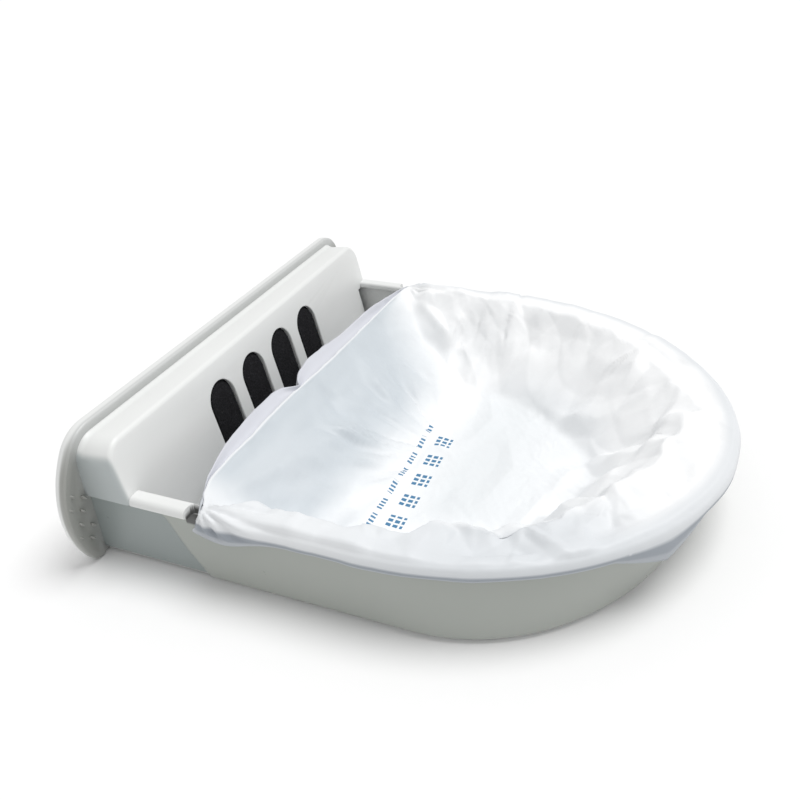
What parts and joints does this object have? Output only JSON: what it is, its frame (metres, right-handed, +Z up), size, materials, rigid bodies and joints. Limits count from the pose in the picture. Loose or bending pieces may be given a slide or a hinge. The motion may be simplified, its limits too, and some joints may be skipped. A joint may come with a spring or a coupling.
{
  "type": "slide-in bedpan",
  "caption": "Shallow D-shaped slide-in bedpan with a rimmed tub, an end plate, a slotted odour-filter housing with a pull-out filter cassette, and a disposable liner bag.",
  "frame": {"origin": "centre of the whole part's length and width, on the surface it stands on", "axes": "+X across the pan, to its left seen from behind the end plate; +Y from the round nose to the end plate; +Z up"},
  "size_m": [0.322, 0.3136, 0.076],
  "materials": {
    "tub_plastic": "semi-gloss moulded",
    "plate_plastic": "semi-gloss moulded",
    "housing_plastic": "satin moulded",
    "foam": "open-cell black foam",
    "tray_plastic": "satin moulded",
    "seal_rubber": "matte",
    "screw_steel": "bright",
    "bag_film": "translucent crinkled film"
  },
  "bodies": {
    "pan": {"pan_tub": "tub_plastic", "end_plate": "plate_plastic", "filter_housing": "housing_plastic", "plate_screws": "screw_steel", "housing_screws": "screw_steel"},
    "cassette": {"filter_foam": "foam", "filter_tray": "tray_plastic", "filter_cover": "plate_plastic", "cover_seal": "seal_rubber"},
    "liner": {"liner_bag": "bag_film"}
  },
  "joints": [
    {"name": "cassette_slide", "type": "slide", "parent": "pan", "child": "cassette", "axis": [0, 1, 0], "range_m": [0, 0.06]},
    {"name": "liner_lift", "type": "slide", "parent": "pan", "child": "liner", "axis": [0, 0, 1], "range_m": [0, 0.08]}
  ]
}
